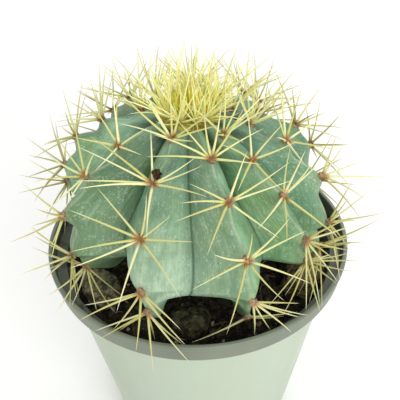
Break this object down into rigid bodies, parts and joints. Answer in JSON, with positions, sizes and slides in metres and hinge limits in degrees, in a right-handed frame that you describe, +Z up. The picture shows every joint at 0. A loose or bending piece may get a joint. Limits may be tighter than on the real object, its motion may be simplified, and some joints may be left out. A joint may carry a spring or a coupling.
{
  "type": "potted blue barrel cactus",
  "caption": "Round ribbed blue-green barrel cactus with fans of pale yellow spines, standing in potting mix in a tapered round nursery pot with a banded rim.",
  "frame": {"origin": "middle of the flat underside of the pot", "axes": "+Z up through the crown of the cactus, -Y towards the side that the picture shows, +X to that side's right"},
  "size_m": [0.1527, 0.1524, 0.1901],
  "materials": {
    "pot_plastic": "satin",
    "potting_mix": "matte",
    "waxy_skin": "satin",
    "yellow_spines": "satin",
    "crown_wool": "matte",
    "lump_earth": "matte",
    "bark": "matte"
  },
  "bodies": {
    "root": {"pot": "pot_plastic", "potting_mix": "potting_mix", "ribbed_stem": "waxy_skin", "soil_lump_front": "lump_earth", "soil_lump_left": "lump_earth", "bark_chip": "bark", "crown_spines_and_wool": "crown_wool", "spine_cluster_1_1": "yellow_spines", "spine_cluster_2_1": "yellow_spines", "spine_cluster_3_1": "yellow_spines", "spine_cluster_4_1": "yellow_spines", "spine_cluster_5_1": "yellow_spines", "spine_cluster_6_1": "yellow_spines", "spine_cluster_7_1": "yellow_spines", "spine_cluster_8_1": "yellow_spines", "spine_cluster_9_1": "yellow_spines", "spine_cluster_10_1": "yellow_spines", "spine_cluster_1_2": "yellow_spines", "spine_cluster_2_2": "yellow_spines", "spine_cluster_3_2": "yellow_spines", "spine_cluster_4_2": "yellow_spines", "spine_cluster_5_2": "yellow_spines", "spine_cluster_6_2": "yellow_spines", "spine_cluster_7_2": "yellow_spines", "spine_cluster_8_2": "yellow_spines", "spine_cluster_9_2": "yellow_spines", "spine_cluster_10_2": "yellow_spines", "spine_cluster_1_3": "yellow_spines", "spine_cluster_2_3": "yellow_spines", "spine_cluster_3_3": "yellow_spines", "spine_cluster_4_3": "yellow_spines", "spine_cluster_5_3": "yellow_spines", "spine_cluster_6_3": "yellow_spines", "spine_cluster_7_3": "yellow_spines", "spine_cluster_8_3": "yellow_spines", "spine_cluster_9_3": "yellow_spines", "spine_cluster_10_3": "yellow_spines", "spine_cluster_1_4": "yellow_spines", "spine_cluster_2_4": "yellow_spines", "spine_cluster_3_4": "yellow_spines", "spine_cluster_4_4": "yellow_spines", "spine_cluster_5_4": "yellow_spines", "spine_cluster_6_4": "yellow_spines", "spine_cluster_7_4": "yellow_spines", "spine_cluster_8_4": "yellow_spines", "spine_cluster_9_4": "yellow_spines", "spine_cluster_10_4": "yellow_spines", "spine_cluster_1_5": "yellow_spines", "spine_cluster_2_5": "yellow_spines", "spine_cluster_3_5": "yellow_spines", "spine_cluster_4_5": "yellow_spines", "spine_cluster_5_5": "yellow_spines", "spine_cluster_6_5": "yellow_spines", "spine_cluster_7_5": "yellow_spines", "spine_cluster_8_5": "yellow_spines", "spine_cluster_9_5": "yellow_spines", "spine_cluster_10_5": "yellow_spines"}
  },
  "joints": []
}
